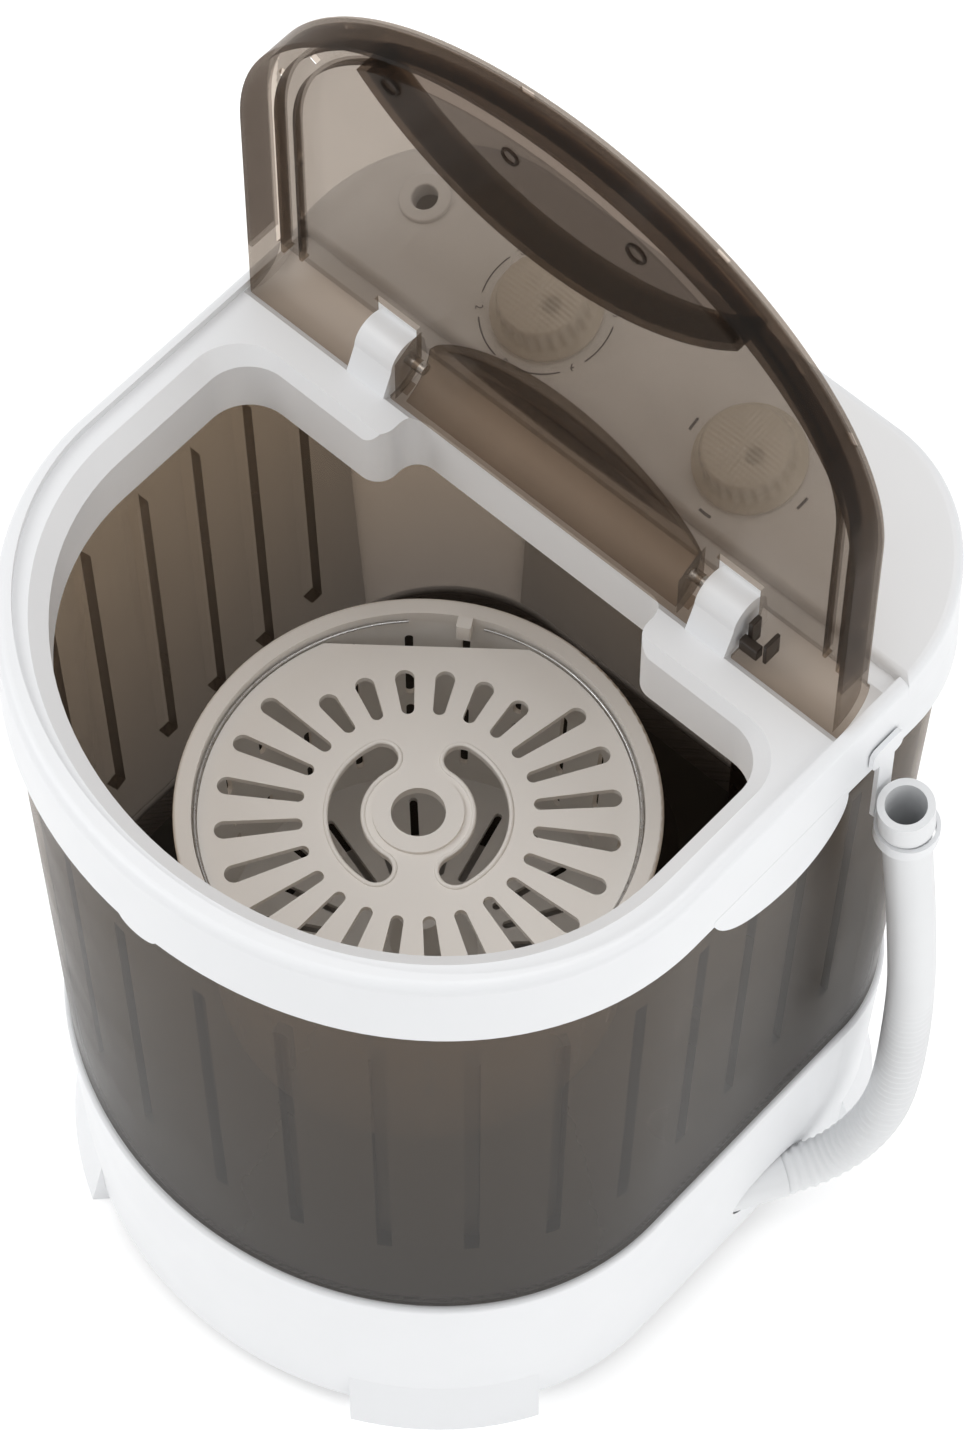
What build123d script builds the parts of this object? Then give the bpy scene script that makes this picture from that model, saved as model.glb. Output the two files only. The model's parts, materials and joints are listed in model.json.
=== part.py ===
"""Portable single-tub top load washing machine with a spin basket.

Frame: millimetres, +Z up, +X to the right seen from the front, +Y to the back.
The origin is on the floor, under the middle of the machine.
"""
import os
from math import atan2, cos, degrees, pi, radians, sin, tan

from build123d import *

os.makedirs("parts", exist_ok=True)

# ---- Driving dimensions ----------------------------------------------------
ARC_Y = -37.0          # line where the curved front meets the straight sides
HALF_WIDTH = 180.0     # top frame
FRONT_DEPTH = 152.0    # top frame, from ARC_Y to the front
BACK_Y = 189.0
CORNER_R = 80.0

FOOT_H = 12.0
BASE_TOP = 134.0
TUB_TOP = 456.0
FRAME_BOTTOM = 435.0
FRAME_TOP = 478.0
SPLIT_Z = 460.0         # the control panel sits on the frame at this height
LEDGE_Z = 473.5        # the closed lid's rim hangs just above this ledge
WALL = 3.0

# Tub and base narrow towards the floor
TUB_LOW = (166.5, 141.7, 178.0, 75.0)      # half width, front depth, back y, corner
TUB_HIGH = (176.0, 148.3, 185.0, 77.0)
BASE_LOW = (164.2, 140.9, 177.0, 74.0)
BASE_HIGH = (169.0, 144.5, 180.0, 76.0)

# Opening in the top frame
OPENING_A = 155.0
OPENING_B = 128.0
OPENING_BACK = 42.0
OPENING_MID_A = 74.0
OPENING_MID_BACK = 66.0

# Lid and its hinge
HINGE_Y = 77.0
HINGE_Z = 488.0
PIN_R = 3.0
RUNNING_GAP = 0.05
LID_A = 171.0
LID_B = 138.0
LID_T = 2.6
LID_DEPTH = 20.0
KNUCKLE_X = (88.0, 110.0)
TAB_X = (80.5, 83.5)

# Control panel
PANEL_FRONT = 102.0
PANEL_FRONT_Z = 480.0
PANEL_BACK_Z = 504.0
TIMER_X = -59.0
SELECTOR_X = 59.0
KNOB_Y = 139.0
INLET_X = -138.0
INLET_Y = 143.0
KNOB_FLANGE_R = 26.0
KNOB_H = 21.0
SPINDLE_R = 3.0

# Drive line
DRIVE_Y = -15.0
SHAFT_R = 7.0
BASKET_R = 112.0
BASKET_RIM = 310.0
BASKET_FLOOR = 168.0
BASKET_TURN = 40.0     # how the basket stands at rest
MOTOR_Y = 105.0
DRIVEN_R = 70.0
MOTOR_PULLEY_R = 14.0
PULLEY_Z = 48.0
PULLEY_H = 16.0

# Drain: pipe from the tub floor, out through the base wall, then the hose
DRAIN_X = 138.0
DRAIN_Y = 8.0
DRAIN_Z = 42.0
DRAIN_R = 12.0
DRAIN_ANGLE = 60.0     # heading of the outlet, from +X towards +Y
DRAIN_REACH = 62.0
HOSE_R = 12.0
HOSE_ROUTE = [
    (169.0, 61.694, 42.0),
    (176.0, 73.818, 42.0),
    (184.0, 87.7, 48.5),
    (190.5, 98.5, 64.0),
    (194.5, 106.0, 84.0),
    (196.5, 109.5, 112.0),
    (197.0, 111.0, 158.0),
    (197.5, 109.0, 215.0),
    (197.5, 103.0, 270.0),
    (198.0, 96.0, 322.0),
    (197.5, 90.0, 365.0),
    (197.5, 85.5, 402.0),
]


# ---- Shared profiles and helpers -------------------------------------------
def d_profile(half_width, depth, back, corner):
    """D-shaped face: half ellipse in front, straight sides, rounded back corners."""
    with BuildSketch(mode=Mode.PRIVATE) as profile:
        with BuildLine():
            EllipticalCenterArc((0, ARC_Y), half_width, depth, 180, arc_size=180)
            Polyline((half_width, ARC_Y), (half_width, back), (-half_width, back), (-half_width, ARC_Y))
        make_face()
        if corner > 0:
            fillet(profile.vertices().group_by(Axis.Y)[-1], corner)
    return profile.sketch


def inset(plan, gap):
    """The same D plan, smaller by gap all round."""
    half_width, depth, back, corner = plan
    return (half_width - gap, depth - gap, back - gap, corner - gap)


def between(low, high, low_z, high_z, z):
    """The D plan at height z of a body that runs from low to high."""
    share = (z - low_z) / (high_z - low_z)
    return tuple(a + (b - a) * share for a, b in zip(low, high))


def tub_plan(z, gap=0.0):
    return inset(between(TUB_LOW, TUB_HIGH, BASE_TOP, TUB_TOP, z), gap)


def base_plan(z, gap=0.0):
    return inset(between(BASE_LOW, BASE_HIGH, FOOT_H, BASE_TOP, z), gap)


def loft_d(low, high, low_z, high_z, mode=Mode.ADD):
    """A solid that runs between two D plans, for use inside a part."""
    loft([Pos(0, 0, low_z) * d_profile(*low), Pos(0, 0, high_z) * d_profile(*high)], mode=mode)


def save(part, label):
    part.label = label
    export_step(part, f"parts/{label}.step")


FRAME_PLAN = (HALF_WIDTH, FRONT_DEPTH, BACK_Y, CORNER_R)
PANEL_TILT = degrees(atan2(PANEL_BACK_Z - PANEL_FRONT_Z, BACK_Y - PANEL_FRONT))


def panel_plane(x, y, lift=0.0):
    """A plane on the sloping panel face at x, y, raised along its normal by lift."""
    z = PANEL_FRONT_Z + (y - PANEL_FRONT) * tan(radians(PANEL_TILT))
    normal = (0, -sin(radians(PANEL_TILT)), cos(radians(PANEL_TILT)))
    face = Plane(origin=(x, y, z), x_dir=(1, 0, 0), z_dir=normal)
    return face.offset(lift)


# ---- Base ------------------------------------------------------------------
OUTLET = Vector(cos(radians(DRAIN_ANGLE)), sin(radians(DRAIN_ANGLE)), 0)
# Where the middle of each foot is, and which way it faces
FOOT_SPOTS = [(-114.0, -125.0, 226.0), (114.0, -125.0, -46.0), (-130.0, 145.0, 135.0), (130.0, 145.0, 45.0)]
FOOT_WIDTH = 92.0
FOOT_FLARE = 7.5
FOOT_SHOULDER = 36.0
FOOT_PAD = 22.0

with BuildPart() as base_housing:
    loft_d(base_plan(FOOT_H), base_plan(BASE_TOP), FOOT_H, BASE_TOP)
    fillet(base_housing.faces().sort_by(Axis.Z)[-1].edges(), 2.0)
    loft_d(base_plan(FOOT_H, WALL), base_plan(BASE_TOP - 5, WALL), FOOT_H, BASE_TOP - 5, Mode.SUBTRACT)
    # Window in the deck, below the tub floor
    with BuildSketch(Plane.XY.offset(BASE_TOP - 6)):
        add(d_profile(*base_plan(BASE_TOP, 15.0)))
    extrude(amount=8, mode=Mode.SUBTRACT)
    # Way out for the drain elbow, and for the cord gland
    with BuildSketch(Plane(origin=(DRAIN_X, DRAIN_Y, DRAIN_Z), z_dir=OUTLET)):
        Circle(DRAIN_R + 1.0)
    extrude(amount=90, mode=Mode.SUBTRACT)
    with BuildSketch(Plane.XZ.offset(-150)):
        with Locations((-70.0, 40.0)):
            Circle(6.0)
    extrude(amount=-60, mode=Mode.SUBTRACT)
save(base_housing.part, "base_housing")

with BuildPart() as bottom_plate:
    with BuildSketch(Plane.XY.offset(FOOT_H)):
        add(d_profile(*base_plan(FOOT_H, WALL + 0.1)))
        with GridLocations(18, 60, 7, 2):
            SlotOverall(46, 5, rotation=90, mode=Mode.SUBTRACT)
    extrude(amount=4)
save(bottom_plate.part, "bottom_plate")

with BuildPart() as feet:
    # Skirt that flares from the base wall down to the floor, cut into four blocks
    loft_d(base_plan(0, -FOOT_FLARE), base_plan(FOOT_SHOULDER), 0, FOOT_SHOULDER)
    loft_d(base_plan(FOOT_H), base_plan(BASE_TOP), FOOT_H, BASE_TOP, Mode.SUBTRACT)
    with BuildSketch():
        add(d_profile(*base_plan(0, FOOT_PAD)))
    extrude(amount=FOOT_H, mode=Mode.SUBTRACT)
    with BuildSketch():
        for x, y, facing in FOOT_SPOTS:
            with Locations(Location((x, y), facing)):
                Rectangle(80, FOOT_WIDTH)
    extrude(amount=FOOT_SHOULDER, mode=Mode.INTERSECT)
save(feet.part, "feet")

with BuildPart() as base_screws:
    with BuildSketch(Plane.XY.offset(FOOT_H + 4)):
        with Locations((-140, -40), (140, -40), (-140, 60), (140, 30), (0, -160), (0, 160)):
            Circle(4)
    extrude(amount=2.4)
    fillet(base_screws.faces().sort_by(Axis.Z)[-6:].edges(), 1.0)
save(base_screws.part, "base_screws")


# ---- Tub -------------------------------------------------------------------
TUB_FLOOR_T = 5.0
TUB_FLOOR = BASE_TOP + TUB_FLOOR_T
SEAL_R = 16.0
RIB_ANGLES = [188, 203, 218, 233, 248, 262, 278, 292, 307, 322, 337, 352]
SIDE_RIB_Y = (-18.0, 16.0, 50.0, 84.0)
RIB_LOW = 196.0
RIB_HIGH = 395.0
RIB_MIDDLE = (RIB_LOW + RIB_HIGH) / 2
RIB_INSET = WALL + 2.2
RIB_LEAN = 1.7

with BuildPart() as tub:
    loft_d(tub_plan(BASE_TOP), tub_plan(TUB_TOP), BASE_TOP, TUB_TOP)
    fillet(tub.faces().sort_by(Axis.Z)[0].edges(), 2.5)
    loft_d(tub_plan(TUB_FLOOR, WALL), tub_plan(TUB_TOP, WALL), TUB_FLOOR, TUB_TOP, Mode.SUBTRACT)
    # Wash ribs that stand in from the wall
    rib = Box(8, 7, RIB_HIGH - RIB_LOW, mode=Mode.PRIVATE)
    for angle in RIB_ANGLES:
        half_width, depth, _, _ = tub_plan(RIB_MIDDLE, RIB_INSET)
        x = half_width * cos(radians(angle))
        y = ARC_Y + depth * sin(radians(angle))
        slope = degrees(atan2(sin(radians(angle)) / depth, cos(radians(angle)) / half_width))
        add(Pos(x, y, RIB_MIDDLE) * Rot(0, 0, slope) * Rot(0, RIB_LEAN, 0) * rib)
    for y in SIDE_RIB_Y:
        for side in (-1, 1):
            x = side * tub_plan(RIB_MIDDLE, RIB_INSET)[0]
            add(Pos(x, y, RIB_MIDDLE) * Rot(0, side * RIB_LEAN, 0) * rib)
    # Seal seat and drain hole in the floor
    with BuildSketch(Plane.XY.offset(BASE_TOP - 1)):
        with Locations((0, DRIVE_Y)):
            Circle(SEAL_R)
        with Locations((DRAIN_X, DRAIN_Y)):
            Circle(DRAIN_R - 2)
    extrude(amount=TUB_FLOOR_T + 2, mode=Mode.SUBTRACT)
save(tub.part, "tub")

with BuildPart() as overflow_duct:
    with BuildSketch(Plane.XY.offset(TUB_FLOOR)):
        with Locations((72, 166.0)):
            Rectangle(52, 17)
        with Locations((72, 167.5)):
            Rectangle(46, 14, mode=Mode.SUBTRACT)
    extrude(amount=270)
    with BuildSketch(Plane.XZ.offset(-156)):
        with Locations(*[(72, TUB_FLOOR + 40 + 14 * row) for row in range(12)]):
            SlotOverall(34, 4)
    extrude(amount=-6, mode=Mode.SUBTRACT)
save(overflow_duct.part, "overflow_duct")


# ---- Top frame -------------------------------------------------------------
INNER_SKIRT = 456.0
TRENCH_R = 21.8        # the hinge flange swings inside this radius


def opening_profile(grow=0.0):
    """The mouth of the tub: a D with a deeper bay in the middle of its back edge."""
    with BuildSketch(mode=Mode.PRIVATE) as mouth:
        add(d_profile(OPENING_A + grow, OPENING_B + grow, OPENING_BACK + grow, 22 + grow))
        with Locations((0, OPENING_BACK)):
            Rectangle(2 * (OPENING_MID_A + grow), 2 * (OPENING_MID_BACK - OPENING_BACK + grow))
        bay_corners = [v for v in mouth.vertices() if abs(abs(v.X) - OPENING_MID_A - grow) < 0.1]
        fillet(bay_corners, 10.5)
    return mouth.sketch


with BuildPart() as top_frame:
    loft_d(FRAME_PLAN, inset(FRAME_PLAN, 1.5), FRAME_BOTTOM, FRAME_TOP)
    fillet(top_frame.faces().sort_by(Axis.Z)[-1].edges(), 5.0)
    # Ledge for the closed lid, open to the panel behind it
    with BuildSketch(Plane.XY.offset(LEDGE_Z)):
        add(d_profile(LID_A + 2.0, LID_B + 2.0, PANEL_FRONT, 0))
    extrude(amount=10, mode=Mode.SUBTRACT)
    # Sloping inner wall down to the mouth
    loft_d((OPENING_A - 1, OPENING_B - 1, OPENING_BACK - 1, 21), (OPENING_A + 9, OPENING_B + 9, OPENING_BACK + 4, 26),
           LEDGE_Z - 9, LEDGE_Z + 0.5, Mode.SUBTRACT)
    with BuildSketch(Plane.XY.offset(FRAME_BOTTOM - 1)):
        add(opening_profile())
    extrude(amount=60, mode=Mode.SUBTRACT)
    # Channel that takes the top edge of the tub
    with BuildSketch(Plane.XY.offset(FRAME_BOTTOM)):
        add(d_profile(*tub_plan(TUB_TOP, -0.8)))
        add(d_profile(*tub_plan(TUB_TOP, WALL + 0.8)), mode=Mode.SUBTRACT)
    extrude(amount=TUB_TOP - FRAME_BOTTOM, mode=Mode.SUBTRACT)
    # Hollow below the panel bay and below the ledge
    with BuildSketch(Plane.XY.offset(FRAME_BOTTOM)):
        add(d_profile(*tub_plan(TUB_TOP, WALL + 0.8)))
        add(opening_profile(WALL), mode=Mode.SUBTRACT)
    extrude(amount=INNER_SKIRT - FRAME_BOTTOM, mode=Mode.SUBTRACT)
    # Low rear deck that carries the control panel
    with BuildSketch(Plane.XY.offset(SPLIT_Z)):
        with Locations((0, PANEL_FRONT + 100)):
            Rectangle(400, 200)
    extrude(amount=40, mode=Mode.SUBTRACT)
    # Trench below the hinge flange
    with BuildSketch(Plane.YZ.offset(-LID_A - 1.5)):
        with Locations((HINGE_Y, HINGE_Z)):
            Circle(TRENCH_R)
    extrude(amount=2 * LID_A + 3, mode=Mode.SUBTRACT)
    # Knuckles that hold the hinge pins
    for side in (-1, 1):
        with BuildSketch(Plane.YZ.offset(side * KNUCKLE_X[0])):
            with Locations((HINGE_Y, HINGE_Z)):
                Circle(11)
            with BuildLine():
                Polyline((58, LEDGE_Z - 6), (HINGE_Y - 11, HINGE_Z), (HINGE_Y + 11, HINGE_Z),
                         (90, LEDGE_Z - 6), close=True)
            make_face()
        extrude(amount=side * (KNUCKLE_X[1] - KNUCKLE_X[0]))
        with BuildSketch(Plane.YZ.offset(side * (KNUCKLE_X[0] - 1))):
            with Locations((HINGE_Y, HINGE_Z)):
                Circle(PIN_R)
        extrude(amount=side * 17, mode=Mode.SUBTRACT)
    # Hand grips below the sides, and a small lug below the front
    for side in (-1, 1):
        with BuildSketch(Plane.YZ.offset(side * (HALF_WIDTH - 3.2))):
            with BuildLine():
                Spline((-24, FRAME_BOTTOM), (-8, FRAME_BOTTOM - 22), (16, FRAME_BOTTOM - 33),
                       (42, FRAME_BOTTOM - 33), (59, FRAME_BOTTOM - 20), (64, FRAME_BOTTOM))
                Polyline((64, FRAME_BOTTOM), (64, FRAME_BOTTOM + 4), (-24, FRAME_BOTTOM + 4), (-24, FRAME_BOTTOM))
            make_face()
        extrude(amount=side * 3.2)
    with BuildSketch(Plane.XZ.offset(-(ARC_Y - FRONT_DEPTH + 1.0))):
        with Locations((-2, FRAME_BOTTOM)):
            Ellipse(11, 8)
    extrude(amount=-2.4)
save(top_frame.part, "top_frame")

with BuildPart() as hinge_pins:
    for side in (-1, 1):
        with BuildSketch(Plane.YZ.offset(side * (TAB_X[0] - 3))):
            with Locations((HINGE_Y, HINGE_Z)):
                Circle(PIN_R - RUNNING_GAP)
        extrude(amount=side * 24)
save(hinge_pins.part, "hinge_pins")


# ---- Control panel ---------------------------------------------------------
def panel_block(gap):
    """The wedge of the panel, smaller by gap at its sides, front, back and top."""
    with BuildPart(mode=Mode.PRIVATE) as block:
        loft_d(inset(FRAME_PLAN, 0.9 + gap), inset(FRAME_PLAN, 2.7 + gap), SPLIT_Z, SPLIT_Z + 60)
        with BuildSketch(Plane.XY.offset(SPLIT_Z)):
            with Locations((0, PANEL_FRONT + gap - 200)):
                Rectangle(400, 400)
        extrude(amount=60, mode=Mode.SUBTRACT)
        with BuildSketch(panel_plane(0, PANEL_FRONT, -gap)):
            Rectangle(600, 600)
        extrude(amount=100, mode=Mode.SUBTRACT)
    return block.part


with BuildPart() as control_panel:
    add(panel_block(0))
    top_edges = control_panel.faces().sort_by(Axis.Z)[-1].edges()
    fillet(top_edges, 4.0)
    add(panel_block(WALL), mode=Mode.SUBTRACT)
    for x in (TIMER_X, SELECTOR_X):
        with BuildSketch(panel_plane(x, KNOB_Y, -10)):
            Circle(SPINDLE_R + 1.5)
        extrude(amount=20, mode=Mode.SUBTRACT)
    with BuildSketch(panel_plane(INLET_X, INLET_Y, -10)):
        Circle(8.3)
    extrude(amount=20, mode=Mode.SUBTRACT)
save(control_panel.part, "control_panel")

with BuildPart() as inlet_ring:
    with BuildSketch(panel_plane(INLET_X, INLET_Y)):
        Circle(12)
        Circle(6, mode=Mode.SUBTRACT)
    extrude(amount=2.5)
    fillet(inlet_ring.edges().filter_by(GeomType.CIRCLE).group_by(Axis.Z)[-1], 1.0)
    with BuildSketch(panel_plane(INLET_X, INLET_Y)):
        Circle(8)
        Circle(6, mode=Mode.SUBTRACT)
    extrude(amount=-9)
save(inlet_ring.part, "inlet_ring")

with BuildPart() as panel_screws:
    with BuildSketch(Plane.XZ.offset(-(BACK_Y - 1.5))):
        with Locations((-90, 490), (0, 490), (90, 490)):
            Circle(3.5)
    extrude(amount=-1.4)
save(panel_screws.part, "panel_screws")


def switch_module(x, size, depth):
    """A switch body that hangs below the panel skin, with a collar for its spindle."""
    with BuildPart(mode=Mode.PRIVATE) as module:
        with BuildSketch(panel_plane(x, KNOB_Y, -WALL)):
            Rectangle(*size)
            Circle(SPINDLE_R + 1.5, mode=Mode.SUBTRACT)
        extrude(amount=-depth)
        with BuildSketch(panel_plane(x, KNOB_Y, -WALL - depth)):
            Rectangle(*size)
        extrude(amount=-1.5)
    return module.part


save(switch_module(TIMER_X, (44, 36), 11), "timer_module")
save(switch_module(SELECTOR_X, (36, 30), 11), "selector_switch")


def knob(x):
    """Knob with a wide clear flange, a scalloped grip and a crowned top."""
    with BuildPart(mode=Mode.PRIVATE) as body:
        with BuildSketch(panel_plane(x, KNOB_Y, 0.5)):
            Circle(KNOB_FLANGE_R)
        extrude(amount=3)
        with BuildSketch(panel_plane(x, KNOB_Y, 3.5)):
            Circle(21)
        extrude(amount=KNOB_H - 5, taper=5)
        fillet(body.faces().sort_by(Axis.Z)[-1].edges(), 3.0)
        with BuildSketch(panel_plane(x, KNOB_Y, 5.0)):
            with PolarLocations(21.5, 18):
                Circle(1.8)
        extrude(amount=KNOB_H, mode=Mode.SUBTRACT)
        # Spindle, running in the switch body
        with BuildSketch(panel_plane(x, KNOB_Y, 0.5)):
            Circle(SPINDLE_R)
        extrude(amount=-12.5)
    return body.part


save(knob(TIMER_X), "timer_knob")
save(knob(SELECTOR_X), "selector_knob")


# ---- Lid, drawn closed and then swung open ---------------------------------
LID_TOP = HINGE_Z + 6.5
LID_RIM = LID_TOP - LID_DEPTH
LID_BACK = HINGE_Y - 4          # where the top plate turns down into the hinge flange
LID_PLAN = (LID_A, LID_B, LID_BACK, 0)
FLANGE_Y = HINGE_Y + 16
# Windows in the plate: distance in from the outline, angles round the arc, and (side, y) on the straights
LID_WINDOWS = [
    (6.3, (26, 62, 99, 139, 172), [(1, 31)]),
    (15.4, (40, 158), [(-1, -3), (-1, 41), (1, -19), (1, 60), (-1, 62)]),
]
GRIP_R = 145.0
GRIP_CENTRE_Y = -235.0


def grip_profile(grow=0.0):
    """Lens between the lid's front arc and an arc that bows towards the hinge."""
    with BuildSketch(mode=Mode.PRIVATE) as lens:
        add(d_profile(LID_A - 13 + grow, LID_B - 13 + grow, HINGE_Y, 0))
        with Locations((0, GRIP_CENTRE_Y)):
            Circle(GRIP_R + grow, mode=Mode.INTERSECT)
    return lens.sketch


def swing_open(part):
    return part.rotate(Axis((0, HINGE_Y, HINGE_Z), (1, 0, 0)), -90)


with BuildPart() as lid:
    # Top plate and outer rim wall
    with BuildSketch(Plane.XY.offset(LID_RIM)):
        add(d_profile(*LID_PLAN))
    extrude(amount=LID_DEPTH)
    fillet(lid.faces().sort_by(Axis.Z)[-1].edges().filter_by(lambda e: e.center().Y < HINGE_Y - 20), 3.0)
    with BuildSketch(Plane.XY.offset(LID_RIM - 1)):
        add(d_profile(LID_A - LID_T, LID_B - LID_T, HINGE_Y, 0))
    extrude(amount=LID_DEPTH + 1 - LID_T, mode=Mode.SUBTRACT)
    # Hinge flange: curves from the top plate down to its free edge
    with BuildSketch(Plane.YZ.offset(-LID_A)):
        with BuildLine():
            outer = ThreePointArc((LID_BACK, LID_TOP), (HINGE_Y + 10.5, LID_TOP - 5.5), (FLANGE_Y, LID_RIM))
            Line(outer @ 1, (FLANGE_Y - LID_T, LID_RIM))
            inner = ThreePointArc((FLANGE_Y - LID_T, LID_RIM), (HINGE_Y + 8.6, LID_TOP - 7.3),
                                  (LID_BACK, LID_TOP - LID_T))
            Line(inner @ 1, outer @ 0)
        make_face()
    extrude(amount=2 * LID_A)
    # Cheeks at both ends
    for side in (-1, 1):
        with BuildSketch(Plane.YZ.offset(side * LID_A)):
            with BuildLine():
                outer = ThreePointArc((LID_BACK, LID_TOP), (HINGE_Y + 10.5, LID_TOP - 5.5), (FLANGE_Y, LID_RIM))
                Polyline(outer @ 1, (LID_BACK, LID_RIM), outer @ 0)
            make_face()
        extrude(amount=-side * LID_T)
    # Two stiffening ribs that follow the rim, with small gaps in them
    for gap, height in ((10.0, 7.0), (19.0, 5.0)):
        with BuildSketch(Plane.XY.offset(LID_TOP - LID_T - height)):
            add(d_profile(LID_A - gap, LID_B - gap, HINGE_Y - 14, 0))
            add(d_profile(LID_A - gap - 1.8, LID_B - gap - 1.8, HINGE_Y, 0), mode=Mode.SUBTRACT)
        extrude(amount=height)
    # Small windows through the plate, between the rim and the ribs
    for depth_in, angles, sides in LID_WINDOWS:
        across = LID_A - depth_in
        ahead = LID_B - depth_in
        spots = [Location((side * across, y), 90) for side, y in sides]
        for angle in angles:
            run = radians(angle)
            slope = degrees(atan2(-ahead * cos(run), -across * sin(run)))
            spots.append(Location((across * cos(run), ARC_Y - ahead * sin(run)), slope))
        with BuildSketch(Plane.XY.offset(LID_TOP - 6)):
            with Locations(*spots):
                Rectangle(6.5, 3.6)
        extrude(amount=8, mode=Mode.SUBTRACT)
    # Window for the grip cup
    with BuildSketch(Plane.XY.offset(LID_RIM - 1)):
        add(grip_profile())
    extrude(amount=LID_DEPTH + 2, mode=Mode.SUBTRACT)
    # Knuckle notches
    for side in (-1, 1):
        middle = side * (KNUCKLE_X[0] + KNUCKLE_X[1]) / 2
        with BuildSketch(Plane.XY.offset(LID_RIM - 20)):
            with Locations((middle, HINGE_Y + 7)):
                Rectangle(KNUCKLE_X[1] - KNUCKLE_X[0] + 3, 50)
        extrude(amount=60, mode=Mode.SUBTRACT)
    # Tabs that turn on the pins
    for side in (-1, 1):
        with BuildSketch(Plane.YZ.offset(side * TAB_X[0])):
            with BuildLine():
                Polyline((FLANGE_Y - 1, LID_RIM), (FLANGE_Y - 29, LID_RIM), (FLANGE_Y - 36, LID_TOP - 8),
                         (FLANGE_Y - 36, LID_TOP - 1), (LID_BACK, LID_TOP - 1), (HINGE_Y + 9, LID_TOP - 6),
                         close=True)
            make_face()
            with Locations((HINGE_Y, HINGE_Z)):
                Circle(PIN_R, mode=Mode.SUBTRACT)
        extrude(amount=side * (TAB_X[1] - TAB_X[0]))
save(swing_open(lid.part), "lid")

with BuildPart() as lid_grip:
    with BuildSketch(Plane.XY.offset(LID_RIM + 1)):
        add(grip_profile())
    extrude(amount=LID_DEPTH - 1)
    with BuildSketch(Plane.XY.offset(LID_RIM + 1 + 2.2)):
        add(grip_profile(-2.2))
    extrude(amount=LID_DEPTH, mode=Mode.SUBTRACT)
save(swing_open(lid_grip.part), "lid_grip")


# ---- Spin basket -----------------------------------------------------------
BASKET_WALL = 2.4
BASKET_LOW_R = 98.0
BASKET_HIGH_R = 106.0
BASKET_TOP = BASKET_RIM
HUB_R = 15.0
HUB_TOP = 214.0
SHAFT_TOP = 204.0
DISC_R = 101.0
DISC_Z = 301.0
DISC_T = 3.0
CHORD = 89.0

with BuildPart() as spin_basket:
    with BuildSketch(Plane.XZ):
        with BuildLine():
            Polyline((0, BASKET_FLOOR), (BASKET_LOW_R, BASKET_FLOOR), (BASKET_HIGH_R, BASKET_TOP - 8),
                     (BASKET_R, BASKET_TOP - 4), (BASKET_R, BASKET_TOP), (BASKET_HIGH_R - BASKET_WALL, BASKET_TOP),
                     (BASKET_HIGH_R - BASKET_WALL, BASKET_TOP - 8), (BASKET_LOW_R - BASKET_WALL, BASKET_FLOOR + 3),
                     (HUB_R + 12, BASKET_FLOOR + 3), (HUB_R, BASKET_FLOOR + 14), (HUB_R - 3, HUB_TOP),
                     (0, HUB_TOP), close=True)
        make_face()
    revolve(axis=Axis.Z)
    fillet(spin_basket.edges().filter_by(GeomType.CIRCLE).filter_by(lambda e: e.radius > BASKET_R - 1), 1.6)
    # Socket for the shaft
    with BuildSketch(Plane.XY.offset(BASKET_FLOOR - 1)):
        Circle(SHAFT_R + 0.3)
    extrude(amount=SHAFT_TOP + 1.5 - BASKET_FLOOR, mode=Mode.SUBTRACT)
    # Drain slots in the wall and the floor
    for row in range(4):
        with BuildSketch(Plane.YZ.offset(85)):
            with Locations((0, BASKET_FLOOR + 26 + row * 29)):
                SlotOverall(20, 4, rotation=90)
        slot = extrude(amount=30, mode=Mode.PRIVATE)
        with PolarLocations(0, 24):
            add(slot, mode=Mode.SUBTRACT)
    with BuildSketch(Plane.XY.offset(BASKET_FLOOR - 1)):
        with PolarLocations(62, 24):
            SlotOverall(42, 4)
    extrude(amount=6, mode=Mode.SUBTRACT)
spin_basket_part = Pos(0, DRIVE_Y, 0) * spin_basket.part
save(spin_basket_part, "spin_basket")

with BuildPart() as basket_lid:
    with BuildSketch(Plane.XY.offset(DISC_Z)):
        Circle(DISC_R)
        with Locations((0, CHORD + 50)):
            Rectangle(300, 100, mode=Mode.SUBTRACT)
        Circle(12.6, mode=Mode.SUBTRACT)
        # Radial slots, wider outside, shorter beside the straight edge
        for index in range(24):
            angle = 15.0 * index + 7.5
            short = abs(angle - 90) < 40
            outer = 72.0 if short else 89.0
            with BuildSketch(mode=Mode.PRIVATE) as slot:
                with BuildLine():
                    Polyline((56, -3.0), (outer, -4.6), (outer, 4.6), (56, 3.0), close=True)
                make_face()
                with Locations((56, 0)):
                    Circle(3.0)
                with Locations((outer, 0)):
                    Circle(4.6)
            add(Rot(0, 0, angle) * slot.sketch, mode=Mode.SUBTRACT)
        # Two finger holes either side of the hub
        for turn in (0, 180):
            with BuildSketch(mode=Mode.PRIVATE) as hole:
                SlotArc(CenterArc((0, 0), 34, -58, 116, mode=Mode.PRIVATE), 15)
            add(Rot(0, 0, turn) * hole.sketch, mode=Mode.SUBTRACT)
    extrude(amount=DISC_T)
    # Raised collar round the hub hole
    with BuildSketch(Plane.XY.offset(DISC_Z + DISC_T)):
        Circle(21)
        Circle(12.6, mode=Mode.SUBTRACT)
    extrude(amount=2)
save(Pos(0, DRIVE_Y, 0) * Rot(0, 0, BASKET_TURN) * basket_lid.part, "basket_lid")

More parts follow.
